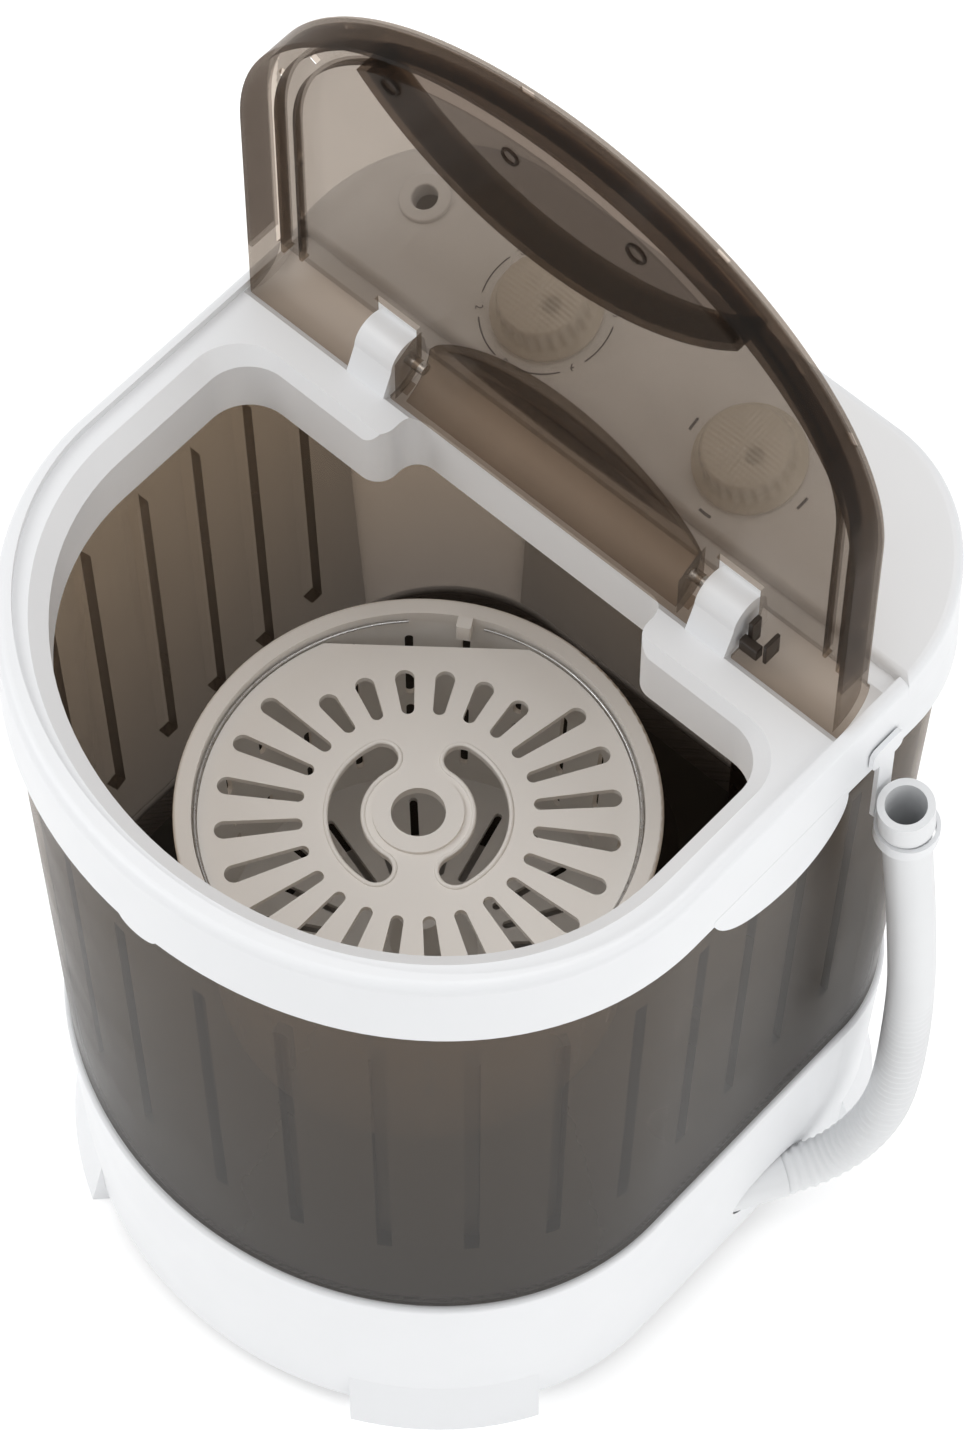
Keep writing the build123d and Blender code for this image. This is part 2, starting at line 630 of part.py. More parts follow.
RING_R = 102.9
with BuildPart() as basket_ring:
    with BuildLine():
        CenterArc((0, 0, BASKET_TOP - 5), RING_R - 0.8, 95, 340)
    with BuildSketch(Plane(origin=((RING_R - 0.8) * cos(radians(95)), (RING_R - 0.8) * sin(radians(95)),
                                   BASKET_TOP - 5), z_dir=(-sin(radians(95)), cos(radians(95)), 0))):
        Circle(0.7)
    sweep()
save(Pos(0, DRIVE_Y, 0) * Rot(0, 0, BASKET_TURN) * basket_ring.part, "basket_ring")

with BuildPart() as basket_clip:
    with BuildSketch(Plane.XY.offset(BASKET_TOP - 9)):
        with Locations((0, 99.5)):
            Rectangle(7, 6.4)
    extrude(amount=11)
    fillet(basket_clip.edges().filter_by(Axis.Z), 1.0)
save(Pos(0, DRIVE_Y, 0) * Rot(0, 0, BASKET_TURN - 10) * basket_clip.part, "basket_clip")


# ---- Drive line ------------------------------------------------------------
with BuildPart() as pulsator:
    with BuildSketch(Plane.XY.offset(TUB_FLOOR + 3)):
        Circle(76)
    extrude(amount=6)
    fillet(pulsator.edges().group_by(Axis.Z)[-1], 3)
    with BuildSketch(Plane.XY.offset(TUB_FLOOR + 9)):
        with PolarLocations(40, 4):
            SlotOverall(56, 10)
        Circle(20)
    extrude(amount=10)
    with BuildSketch(Plane.XY.offset(TUB_FLOOR + 2)):
        Circle(SHAFT_R + 0.02)
    extrude(amount=30, mode=Mode.SUBTRACT)
save(Pos(0, DRIVE_Y, 0) * pulsator.part, "pulsator")

with BuildPart() as drive_shaft:
    with BuildSketch(Plane.XY.offset(PULLEY_Z - 14)):
        Circle(SHAFT_R)
    extrude(amount=SHAFT_TOP - PULLEY_Z + 14)
    chamfer(drive_shaft.edges().group_by(Axis.Z)[-1], 1.0)
save(Pos(0, DRIVE_Y, 0) * drive_shaft.part, "drive_shaft")

BEARING_R = 14.0
BEARING_H = 8.0
HOUSING_LOW = 84.0
with BuildPart() as bearing_housing:
    with BuildSketch(Plane.XY.offset(BASE_TOP - 5)):
        Circle(58)
    extrude(amount=5)
    with BuildSketch(Plane.XY.offset(HOUSING_LOW)):
        Circle(22)
    extrude(amount=BASE_TOP - HOUSING_LOW)
    with BuildSketch(Plane.XY.offset(HOUSING_LOW - 1)):
        Circle(SHAFT_R + 1.5)
    extrude(amount=80, mode=Mode.SUBTRACT)
    for z in (HOUSING_LOW - 1, BASE_TOP - BEARING_H):
        with BuildSketch(Plane.XY.offset(z)):
            Circle(BEARING_R)
        extrude(amount=BEARING_H + 1, mode=Mode.SUBTRACT)
    with BuildSketch(Plane.XY.offset(BASE_TOP - 6)):
        with PolarLocations(50, 6):
            Circle(2.2)
    extrude(amount=8, mode=Mode.SUBTRACT)
save(Pos(0, DRIVE_Y, 0) * bearing_housing.part, "bearing_housing")

with BuildPart() as bearings:
    for z in (HOUSING_LOW, BASE_TOP - BEARING_H):
        with BuildSketch(Plane.XY.offset(z)):
            Circle(BEARING_R)
            Circle(SHAFT_R + RUNNING_GAP, mode=Mode.SUBTRACT)
        extrude(amount=BEARING_H - 0.3)
save(Pos(0, DRIVE_Y, 0) * bearings.part, "bearings")

with BuildPart() as shaft_seal:
    with BuildSketch(Plane.XY.offset(BASE_TOP)):
        Circle(SEAL_R)
        Circle(SHAFT_R + RUNNING_GAP, mode=Mode.SUBTRACT)
    extrude(amount=TUB_FLOOR_T + 1)
save(Pos(0, DRIVE_Y, 0) * shaft_seal.part, "shaft_seal")

GROOVE = 3.0


def pulley(radius, bore):
    """Belt pulley with a groove round its rim."""
    with BuildPart(mode=Mode.PRIVATE) as wheel:
        with BuildSketch(Plane.XY.offset(PULLEY_Z)):
            Circle(radius)
            Circle(bore, mode=Mode.SUBTRACT)
        extrude(amount=PULLEY_H)
        with BuildSketch(Plane.XY.offset(PULLEY_Z + 4)):
            Circle(radius + 1)
            Circle(radius - GROOVE, mode=Mode.SUBTRACT)
        extrude(amount=PULLEY_H - 8, mode=Mode.SUBTRACT)
        if radius > 40:
            with BuildSketch(Plane.XY.offset(PULLEY_Z - 1)):
                with PolarLocations(38, 6):
                    Circle(12)
            extrude(amount=PULLEY_H + 2, mode=Mode.SUBTRACT)
    return wheel.part


save(Pos(0, DRIVE_Y, 0) * pulley(DRIVEN_R, SHAFT_R + 0.02), "driven_pulley")
save(Pos(0, MOTOR_Y, 0) * pulley(MOTOR_PULLEY_R, 5.02), "motor_pulley")

with BuildPart() as shaft_nut:
    with BuildSketch(Plane.XY.offset(PULLEY_Z - 8)):
        RegularPolygon(12, 6)
        Circle(SHAFT_R + 0.02, mode=Mode.SUBTRACT)
    extrude(amount=8)
save(Pos(0, DRIVE_Y, 0) * shaft_nut.part, "shaft_nut")


def belt_outline(gap):
    """Line of an open belt round both pulleys, gap outside their grooves."""
    big = DRIVEN_R - GROOVE + gap
    small = MOTOR_PULLEY_R - GROOVE + gap
    reach = MOTOR_Y - DRIVE_Y
    lean = degrees(atan2(big - small, (reach ** 2 - (big - small) ** 2) ** 0.5))
    with BuildSketch(mode=Mode.PRIVATE) as outline:
        with BuildLine():
            low = CenterArc((0, DRIVE_Y), big, lean, -(180 + 2 * lean))
            high = CenterArc((0, MOTOR_Y), small, lean, 180 - 2 * lean)
            Line(low @ 0, high @ 0)
            Line(low @ 1, high @ 1)
        make_face()
    return outline.sketch


with BuildPart() as drive_belt:
    with BuildSketch(Plane.XY.offset(PULLEY_Z + 4.4)):
        add(belt_outline(2.8))
        add(belt_outline(0.35), mode=Mode.SUBTRACT)
    extrude(amount=PULLEY_H - 8.8)
save(drive_belt.part, "drive_belt")

MOTOR_LOW = 74.0
with BuildPart() as motor:
    with BuildSketch(Plane.XY.offset(MOTOR_LOW)):
        Circle(46)
    extrude(amount=50)
    fillet(motor.edges().group_by(Axis.Z)[-1], 6)
    with BuildSketch(Plane.XY.offset(MOTOR_LOW)):
        with PolarLocations(50, 4, 45):
            Rectangle(20, 16)
    extrude(amount=4)
    with BuildSketch(Plane.XY.offset(MOTOR_LOW - 1)):
        Circle(5.05)
    extrude(amount=40, mode=Mode.SUBTRACT)
save(Pos(0, MOTOR_Y, 0) * motor.part, "motor")

with BuildPart() as motor_shaft:
    with BuildSketch(Plane.XY.offset(PULLEY_Z - 2)):
        Circle(5.0)
    extrude(amount=MOTOR_LOW + 38 - PULLEY_Z + 2)
save(Pos(0, MOTOR_Y, 0) * motor_shaft.part, "motor_shaft")

with BuildPart() as motor_bracket:
    with BuildSketch(Plane.XY.offset(MOTOR_LOW - 8)):
        with Locations((0, MOTOR_Y)):
            RectangleRounded(190, 96, 8)
            Circle(20, mode=Mode.SUBTRACT)
    extrude(amount=3)
    with BuildSketch(Plane.XY.offset(FOOT_H + 4)):
        with Locations((0, MOTOR_Y)):
            with GridLocations(172, 78, 2, 2):
                Circle(5)
    extrude(amount=MOTOR_LOW - 8 - FOOT_H - 4)
save(motor_bracket.part, "motor_bracket")

with BuildPart() as motor_grommets:
    with BuildSketch(Plane.XY.offset(MOTOR_LOW - 5)):
        with Locations((0, MOTOR_Y)):
            with PolarLocations(52, 4, 45):
                Circle(7)
    extrude(amount=5)
save(motor_grommets.part, "motor_grommets")

with BuildPart() as capacitor:
    with BuildSketch(Plane.XY.offset(FOOT_H + 4)):
        with Locations((-110, -50)):
            Circle(17)
    extrude(amount=52)
    fillet(capacitor.edges().group_by(Axis.Z)[-1], 2)
save(capacitor.part, "capacitor")


# ---- Drain, hose and cord gland --------------------------------------------
with BuildPart() as drain_elbow:
    with BuildLine() as bend:
        FilletPolyline((DRAIN_X, DRAIN_Y, BASE_TOP), (DRAIN_X, DRAIN_Y, DRAIN_Z),
                       Vector(DRAIN_X, DRAIN_Y, DRAIN_Z) + OUTLET * DRAIN_REACH, radius=20)
    with BuildSketch(Plane(origin=(DRAIN_X, DRAIN_Y, BASE_TOP), z_dir=(0, 0, -1))):
        Circle(DRAIN_R)
        Circle(DRAIN_R - 2.5, mode=Mode.SUBTRACT)
    sweep()
save(drain_elbow.part, "drain_elbow")


def hose_path():
    """Straight runs joined by arcs, each arc as large as its two runs allow."""
    points = [Vector(*p) for p in HOSE_ROUTE]
    radii = []
    for before, here, after in zip(points, points[1:], points[2:]):
        into = here - before
        away = after - here
        turn = radians(into.get_angle(away))
        radii.append(0.45 * min(into.length, away.length) / tan(turn / 2))
    print("hose arc radii, mm:", [round(r, 1) for r in radii])
    return points, radii


hose_points, hose_radii = hose_path()
with BuildPart() as drain_hose:
    with BuildLine() as hose_line:
        FilletPolyline(*hose_points, radius=hose_radii)
    with BuildSketch(Plane(origin=hose_points[0], z_dir=(hose_points[1] - hose_points[0]))):
        Circle(HOSE_R)
        Circle(HOSE_R - 2.0, mode=Mode.SUBTRACT)
    sweep()
hose_length = hose_line.wire().length
section = pi * (HOSE_R ** 2 - (HOSE_R - 2.0) ** 2)
print("hose length, mm:", round(hose_length, 1), "volume ratio:",
      round(drain_hose.part.volume / (hose_length * section), 4))
save(drain_hose.part, "drain_hose")

CUFF_BORE_R = 9.4
CUFF_LENGTH = 18.0
hose_end = hose_points[-1]
hose_up = (hose_points[-1] - hose_points[-2]).normalized()
with BuildPart() as hose_cuff:
    with BuildSketch(Plane(origin=hose_end, z_dir=hose_up)):
        Circle(HOSE_R + 0.8)
        Circle(CUFF_BORE_R, mode=Mode.SUBTRACT)
    extrude(amount=CUFF_LENGTH)
save(hose_cuff.part, "hose_cuff")

HOOK_Z = 408.0
HOOK_SPOT = (HALF_WIDTH + 17.5, 86.3)
with BuildPart() as hose_hook:
    # Ring round the hose, open arm up to a plate on the side of the top frame
    with BuildSketch(Plane.XY.offset(HOOK_Z - 16)):
        with Locations(HOOK_SPOT):
            Circle(HOSE_R + 2.8)
        with Locations((HOOK_SPOT[0] - HOSE_R - 2.8, HOOK_SPOT[1])):
            Rectangle(3, 8)
        with Locations(HOOK_SPOT):
            Circle(HOSE_R + 0.8, mode=Mode.SUBTRACT)
    extrude(amount=7)
    with BuildSketch(Plane.YZ.offset(HALF_WIDTH + 0.3)):
        with Locations((HOOK_SPOT[1], HOOK_Z + 12)):
            Rectangle(10, 52)
        with Locations((HOOK_SPOT[1], HOOK_Z + 38)):
            RectangleRounded(20, 14, 4)
    extrude(amount=2.4)
save(hose_hook.part, "hose_hook")

with BuildPart() as cord_gland:
    with BuildSketch(Plane.XZ.offset(-163)):
        with Locations((-70, 40)):
            Circle(6)
            Circle(3.2, mode=Mode.SUBTRACT)
    extrude(amount=-18)
save(cord_gland.part, "cord_gland")
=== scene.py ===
"""Looks for the small top load washing machine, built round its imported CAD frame. Metres, +Z up."""
import json
import math

import bmesh
import bpy
from mathutils import Matrix, Vector


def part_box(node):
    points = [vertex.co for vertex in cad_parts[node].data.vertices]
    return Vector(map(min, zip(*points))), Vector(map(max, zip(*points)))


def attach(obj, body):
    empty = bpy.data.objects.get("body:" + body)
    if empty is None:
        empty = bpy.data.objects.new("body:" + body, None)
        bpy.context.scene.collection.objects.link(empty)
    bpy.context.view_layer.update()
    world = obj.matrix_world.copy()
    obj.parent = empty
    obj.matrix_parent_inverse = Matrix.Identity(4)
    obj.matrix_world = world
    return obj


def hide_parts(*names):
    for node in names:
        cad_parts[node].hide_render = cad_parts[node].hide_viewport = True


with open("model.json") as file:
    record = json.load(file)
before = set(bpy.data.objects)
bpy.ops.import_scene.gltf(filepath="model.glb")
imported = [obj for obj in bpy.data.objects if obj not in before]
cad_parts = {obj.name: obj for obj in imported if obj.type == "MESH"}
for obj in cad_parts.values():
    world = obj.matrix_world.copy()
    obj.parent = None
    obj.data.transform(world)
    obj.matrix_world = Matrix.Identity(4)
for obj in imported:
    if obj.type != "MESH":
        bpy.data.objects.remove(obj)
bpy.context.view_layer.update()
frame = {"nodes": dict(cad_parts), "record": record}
MM = 0.001


# ---- Camera, floor and light -------------------------------------------------
AZIMUTH = math.radians(42.01)
ELEVATION = math.radians(60.0)
ROLL = math.radians(0.13)
CAMERA_SPOT = Vector((0.8355, -0.8994, 2.4994))
FOCAL_PIXELS = 5500.0
IMAGE_HEIGHT = 1434.0
SENSOR = 36.0
FLOOR_REACH = 8.0
SKY_STRENGTH = 0.62
LAMP_AIM = Vector((0, 0, 0.3))
# (name, place, width, power)
LAMPS = [
    ("key", (-1.6, -1.2, 2.6), 1.8, 25),
    ("side", (2.2, 0.2, 1.6), 1.6, 11),
    ("top", (0.2, 0.3, 3.2), 1.6, 17),
]


def add_camera():
    """A long lens looking down on the machine from its right front."""
    back = Vector((math.sin(AZIMUTH) * math.cos(ELEVATION), -math.cos(AZIMUTH) * math.cos(ELEVATION),
                   math.sin(ELEVATION)))
    right = Vector((math.cos(AZIMUTH), math.sin(AZIMUTH), 0))
    up = back.cross(right)
    right, up = (right * math.cos(ROLL) + up * math.sin(ROLL), up * math.cos(ROLL) - right * math.sin(ROLL))
    data = bpy.data.cameras.new("camera")
    data.sensor_width = SENSOR
    data.lens = FOCAL_PIXELS / IMAGE_HEIGHT * SENSOR
    data.clip_end = 50
    camera = bpy.data.objects.new("camera", data)
    turn = Matrix((right, up, back)).transposed().to_4x4()
    camera.matrix_world = Matrix.Translation(CAMERA_SPOT) @ turn
    bpy.context.collection.objects.link(camera)
    bpy.context.scene.camera = camera


def add_area(name, spot, size, power):
    """A square lamp turned towards the machine."""
    data = bpy.data.lights.new(name, "AREA")
    data.size = size
    data.energy = power
    lamp = bpy.data.objects.new(name, data)
    lamp.location = spot
    lamp.rotation_euler = (LAMP_AIM - Vector(spot)).to_track_quat("-Z", "Y").to_euler()
    bpy.context.collection.objects.link(lamp)


def add_stage():
    """The floor, the even white world and the lamps."""
    mesh = bpy.data.meshes.new("floor")
    corners = [(x * FLOOR_REACH, y * FLOOR_REACH, 0) for x, y in ((-1, -1), (1, -1), (1, 1), (-1, 1))]
    mesh.from_pydata(corners, [], [(0, 1, 2, 3)])
    floor = bpy.data.objects.new("floor", mesh)
    bpy.context.collection.objects.link(floor)
    floor.data.materials.append(floor_material())
    world = bpy.data.worlds.new("studio")
    bpy.context.scene.world = world
    world.use_nodes = True
    sky = world.node_tree.nodes["Background"]
    sky.inputs["Color"].default_value = (1, 1, 1, 1)
    sky.inputs["Strength"].default_value = SKY_STRENGTH
    for name, spot, size, power in LAMPS:
        add_area(name, spot, size, power)


# ---- Materials ---------------------------------------------------------------
LID_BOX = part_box("lid")
TUB_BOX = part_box("tub")
PLATE_FACE = LID_BOX[1].y - 3.2 * MM    # just in front of the open lid's plate
RIB_FOOT = LID_BOX[0].z + 37 * MM       # where the flange ends and the ribs begin
NOISE_DETAIL = 3.0
RAMP_SPAN = (0.35, 0.65)
# Noise scales, in lumps per metre
MOULD_DRIFT = 9.0
MOULD_GLOSS = 35.0
MOULD_GRAIN = 900.0
SMOKE_DRIFT = 14.0
SMOKE_GLOSS = 22.0
KNOB_GRAIN = 1200.0
FLOOR_GRAIN = 3.0
# Moulded plastic
MOULD_GRAIN_DEPTH = 0.4 * MM
MOULD_SUBSURFACE = (4 * MM, 4 * MM, 4 * MM)
MOULD_SPECULAR = 0.5
# Clear plastic
SMOKE_SPECULAR = 0.6
SMOKE_VARY = 0.03
FOOT_SHADE_TINT = (0.42, 0.385, 0.355)         # painted shade: the tub's tint darkened at its foot
EDGE_BLEND = 0.12
EDGE_COVER = 0.45                       # how much more opaque it is edge on
KNOB_COAT = 0.6
KNOB_GRAIN_STRENGTH = 0.08
KNOB_GRAIN_DEPTH = 0.3 * MM
# Floor
FLOOR_GREYS = (0.93, 0.95)
FLOOR_GLOW = 0.32


def new_material(name):
    """A material with its nodes, its links and its main shader."""
    material = bpy.data.materials.new(name)
    material.use_nodes = True
    nodes = material.node_tree.nodes
    return material, nodes, material.node_tree.links, nodes["Principled BSDF"]


def noise(nodes, links, scale):
    """Noise from 0 to 1 in the object's own coordinates."""
    place = nodes.new("ShaderNodeTexCoord")
    texture = nodes.new("ShaderNodeTexNoise")
    texture.inputs["Scale"].default_value = scale
    texture.inputs["Detail"].default_value = NOISE_DETAIL
    links.new(place.outputs["Object"], texture.inputs["Vector"])
    return texture.outputs["Fac"]


def ramp(nodes, links, source, low, high):
    """Spreads a 0 to 1 value between two colours."""
    node = nodes.new("ShaderNodeValToRGB")
    for element, position, colour in zip(node.color_ramp.elements, RAMP_SPAN, (low, high)):
        element.position = position
        element.color = (*colour, 1)
    links.new(source, node.inputs["Fac"])
    return node.outputs["Color"]


def spread_roughness(nodes, links, shader, scale, low, high):
    """Lets the gloss drift between two roughness values."""
    source = noise(nodes, links, scale)
    links.new(ramp(nodes, links, source, (low,) * 3, (high,) * 3), shader.inputs["Roughness"])


def add_grain(nodes, links, shader, scale, strength, distance):
    """A fine bump over the whole surface."""
    bumper = nodes.new("ShaderNodeBump")
    bumper.inputs["Strength"].default_value = strength
    bumper.inputs["Distance"].default_value = distance
    links.new(noise(nodes, links, scale), bumper.inputs["Height"])
    links.new(bumper.outputs["Normal"], shader.inputs["Normal"])


def moulded(name, colour, roughness, bump=0.05, vary=0.03, subsurface=0.0):
    """Moulded plastic: slow colour drift, uneven gloss and a fine surface grain."""
    material, nodes, links, shader = new_material(name)
    darker = tuple(c * (1 - vary) for c in colour)
    links.new(ramp(nodes, links, noise(nodes, links, MOULD_DRIFT), darker, colour), shader.inputs["Base Color"])
    spread_roughness(nodes, links, shader, MOULD_GLOSS, roughness * 0.85, roughness * 1.15)
    shader.inputs["Specular IOR Level"].default_value = MOULD_SPECULAR
    shader.inputs["Subsurface Weight"].default_value = subsurface
    shader.inputs["Subsurface Radius"].default_value = MOULD_SUBSURFACE
    add_grain(nodes, links, shader, MOULD_GRAIN, bump, MOULD_GRAIN_DEPTH)
    return material


def mix_colours(nodes, links, share, first, second):
    """Blends from a colour output to a fixed colour."""
    node = nodes.new("ShaderNodeMix")
    node.data_type = "RGBA"
    links.new(share, node.inputs["Factor"])
    links.new(first, node.inputs["A"])
    node.inputs["B"].default_value = (*second, 1)
    return node.outputs["Result"]


def arithmetic(nodes, links, operation, first, second):
    """A math node whose two inputs are numbers or outputs."""
    node = nodes.new("ShaderNodeMath")
    node.operation = operation
    for socket, value in zip(node.inputs, (first, second)):
        if isinstance(value, float):
            socket.default_value = value
        else:
            links.new(value, socket)
    return node.outputs["Value"]


def place_parts(nodes, links):
    """The X, Y and Z of a point in the machine's own frame."""
    place = nodes.new("ShaderNodeTexCoord")
    parts = nodes.new("ShaderNodeSeparateXYZ")
    links.new(place.outputs["Object"], parts.inputs["Vector"])
    return parts.outputs["X"], parts.outputs["Y"], parts.outputs["Z"]


def smoky(name, tint, body, cover, roughness, walls=None, shaded_foot=False):
    """Tinted clear plastic: what is behind shows through the tint, under a thin milky, glossy skin."""
    material, nodes, links, shader = new_material(name)
    shader.inputs["Base Color"].default_value = (*body, 1)
    shader.inputs["Specular IOR Level"].default_value = SMOKE_SPECULAR
    spread_roughness(nodes, links, shader, SMOKE_GLOSS, roughness * 0.7, roughness * 1.4)
    clear = nodes.new("ShaderNodeBsdfTransparent")
    darker = tuple(c * (1 - SMOKE_VARY) for c in tint)
    colour = ramp(nodes, links, noise(nodes, links, SMOKE_DRIFT), darker, tint)
    if walls:
        # The rim and the ribs stand in front of the plate and look deeper in colour
        _, depth, height = place_parts(nodes, links)
        proud = arithmetic(nodes, links, "LESS_THAN", depth, PLATE_FACE)
        above = arithmetic(nodes, links, "GREATER_THAN", height, RIB_FOOT)
        colour = mix_colours(nodes, links, arithmetic(nodes, links, "MULTIPLY", proud, above), colour, walls)
    if shaded_foot:
        # Painted shade: deeper and greyer towards the foot of the tub, where its dark inside shows through
        _, _, height = place_parts(nodes, links)
        foot_shade = nodes.new("ShaderNodeMapRange")
        foot_shade.inputs["From Min"].default_value = TUB_BOX[0].z
        foot_shade.inputs["From Max"].default_value = TUB_BOX[1].z
        foot_shade.inputs["To Min"].default_value = 1.0
        foot_shade.inputs["To Max"].default_value = 0.0
        links.new(height, foot_shade.inputs["Value"])
        colour = mix_colours(nodes, links, foot_shade.outputs["Result"], colour, FOOT_SHADE_TINT)
    links.new(colour, clear.inputs["Color"])
    edge = nodes.new("ShaderNodeLayerWeight")
    edge.inputs["Blend"].default_value = EDGE_BLEND
    share = nodes.new("ShaderNodeMapRange")
    share.inputs["To Min"].default_value = cover
    share.inputs["To Max"].default_value = min(1.0, cover + EDGE_COVER)
    links.new(edge.outputs["Fresnel"], share.inputs["Value"])
    mix = nodes.new("ShaderNodeMixShader")
    links.new(share.outputs["Result"], mix.inputs["Fac"])
    links.new(clear.outputs["BSDF"], mix.inputs[1])
    links.new(shader.outputs["BSDF"], mix.inputs[2])
    links.new(mix.outputs["Shader"], nodes["Material Output"].inputs["Surface"])
    return material


def clear_moulding(name):
    """Clear knob plastic, bright on its facets, with a fine moulded grain."""
    material = smoky(name, (0.98, 0.96, 0.92), (0.93, 0.885, 0.80), cover=0.58, roughness=0.07)
    nodes = material.node_tree.nodes
    shader = nodes["Principled BSDF"]
    shader.inputs["Coat Weight"].default_value = KNOB_COAT
    add_grain(nodes, material.node_tree.links, shader, KNOB_GRAIN, KNOB_GRAIN_STRENGTH, KNOB_GRAIN_DEPTH)
    return material


def floor_material():
    """White studio sweep, lit a little from below, with a slight paper grain."""
    material, nodes, links, shader = new_material("floor_white")
    low, high = ((grey,) * 3 for grey in FLOOR_GREYS)
    links.new(ramp(nodes, links, noise(nodes, links, FLOOR_GRAIN), low, high), shader.inputs["Base Color"])
    shader.inputs["Roughness"].default_value = 0.85
    shader.inputs["Emission Color"].default_value = (1, 1, 1, 1)
    shader.inputs["Emission Strength"].default_value = FLOOR_GLOW
    return material


def metal(name, colour, roughness, grain=300.0):
    """Bare metal with uneven gloss."""
    material, nodes, links, shader = new_material(name)
    shader.inputs["Base Color"].default_value = (*colour, 1)
    shader.inputs["Metallic"].default_value = 1.0
    spread_roughness(nodes, links, shader, grain, roughness * 0.75, roughness * 1.3)
    return material


def make_materials():
    """One material for each slot of the record, and the ink of the panel's print."""
    return {
        "white_shell": moulded("white_shell", (0.83, 0.84, 0.855), 0.36, vary=0.012, subsurface=0.06),
        # The tub's clear wall carries painted shade, darker towards its foot
        "smoke_clear": smoky("smoke_clear", (0.71, 0.61, 0.50), (0.19, 0.18, 0.17), cover=0.19,
                             roughness=0.16, shaded_foot=True),
        "smoke_cover": moulded("smoke_cover", (0.035, 0.026, 0.02), 0.3),
        "lid_smoke": smoky("lid_smoke", (0.83, 0.775, 0.72), (0.16, 0.145, 0.13), cover=0.07,
                           roughness=0.10, walls=(0.47, 0.42, 0.38)),
        "knob_clear": clear_moulding("knob_clear"),
        "cream_plastic": moulded("cream_plastic", (0.93, 0.90, 0.86), 0.42, vary=0.02, subsurface=0.04),
        "pulsator_plastic": moulded("pulsator_plastic", (0.62, 0.61, 0.59), 0.45),
        "grey_plastic": moulded("grey_plastic", (0.11, 0.115, 0.12), 0.5, bump=0.15),
        "hose_white": moulded("hose_white", (0.80, 0.81, 0.82), 0.42, vary=0.02),
        "rubber_black": moulded("rubber_black", (0.02, 0.02, 0.02), 0.7, bump=0.3),
        "steel": metal("steel", (0.60, 0.60, 0.60), 0.3),
        "motor_metal": moulded("motor_metal", (0.05, 0.055, 0.065), 0.42, bump=0.12),
        "cast_metal": metal("cast_metal", (0.55, 0.55, 0.56), 0.45, grain=700.0),
        "print_ink": moulded("print_ink", (0.10, 0.10, 0.11), 0.5),
    }


def dress_frame(materials):
    """Gives every carried-over CAD node its slot's material."""
    slots = {entry["node"]: entry["material_slot"] for entry in frame["record"]["subparts"]}
    for node, obj in frame["nodes"].items():
        obj.data.materials.clear()
        obj.data.materials.append(materials[slots[node]])


def mesh_piece(name, verts, faces, material, body, smooth=True):
    """A mesh object that rides on one body of the machine."""
    mesh = bpy.data.meshes.new(name)
    mesh.from_pydata([tuple(vert) for vert in verts], [], faces)
    mesh.update()
    work = bmesh.new()
    work.from_mesh(mesh)
    bmesh.ops.recalc_face_normals(work, faces=work.faces)
    work.to_mesh(mesh)
    work.free()
    for polygon in mesh.polygons:
        polygon.use_smooth = smooth
    piece = bpy.data.objects.new(name, mesh)
    piece.data.materials.append(material)
    bpy.context.collection.objects.link(piece)
    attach(piece, body)
    return piece


def carried_side(along, side):
    """A direction across a line, turned as little as possible from the one before it."""
    if side is None:
        return along.orthogonal().normalized()
    return (side - along * side.dot(along)).normalized()


def ring_faces(rings, sides, closed):
    """Quads between neighbouring rings of points, and back to the first ring when closed."""
    faces = []
    for low in range(rings if closed else rings - 1):
        high = (low + 1) % rings
        for step in range(sides):
            following = (step + 1) % sides
            faces.append((low * sides + step, low * sides + following, high * sides + following,
                          high * sides + step))
    return faces


# ---- Drain hose ----------------------------------------------------------------
# From the outlet in the base to the mouth in its hook, in millimetres
HOSE_ROUTE = [
    (169.0, 61.694, 42.0),
    (176.0, 73.818, 42.0),
    (184.0, 87.7, 48.5),
    (190.5, 98.5, 64.0),
    (194.5, 106.0, 84.0),
    (196.5, 109.5, 112.0),
    (197.0, 111.0, 158.0),
    (197.5, 109.0, 215.0),
    (197.5, 103.0, 270.0),
    (198.0, 96.0, 322.0),
    (197.5, 90.0, 365.0),
    (197.5, 85.5, 402.0),
]
HOSE_R = 12.0 * MM
HOSE_BORE_R = HOSE_R - 2.6 * MM
HOSE_SIDES = 48
HOSE_STEP = 1.1 * MM
VALLEY_R = HOSE_R - 1.1 * MM
RIDGE_PITCH = 5.5 * MM
RIDGE_HEIGHT = 0.9 * MM
RIDGES_END = 200 * MM                   # along the hose; it is smooth from there on
RIDGES_FADE = 50 * MM
SMOOTH_RISE = 0.4 * MM


def hose_spline():
    """Points along the hose's smooth centre line."""
    curve = bpy.data.curves.new("hose_line", "CURVE")
    curve.dimensions = "3D"
    spline = curve.splines.new("NURBS")
    spline.points.add(len(HOSE_ROUTE) - 1)
    for point, place in zip(spline.points, HOSE_ROUTE):
        point.co = (*(value * MM for value in place), 1)
    spline.order_u = 3
    spline.use_endpoint_u = True
    curve.resolution_u = 24
    holder = bpy.data.objects.new("hose_line", curve)
    line = bpy.data.meshes.new_from_object(holder)
    points = [vertex.co.copy() for vertex in line.vertices]
    bpy.data.objects.remove(holder)
    return points


def even_steps(points, step):
    """Walks a line of points and returns places a fixed step apart."""
    places = [points[0]]
    left = step
    for start, end in zip(points, points[1:]):
        length = (end - start).length
        done = 0.0
        while length - done >= left:
            done += left
            places.append(start.lerp(end, done / length))
            left = step
        left -= length - done
    places.append(points[-1])
    return places


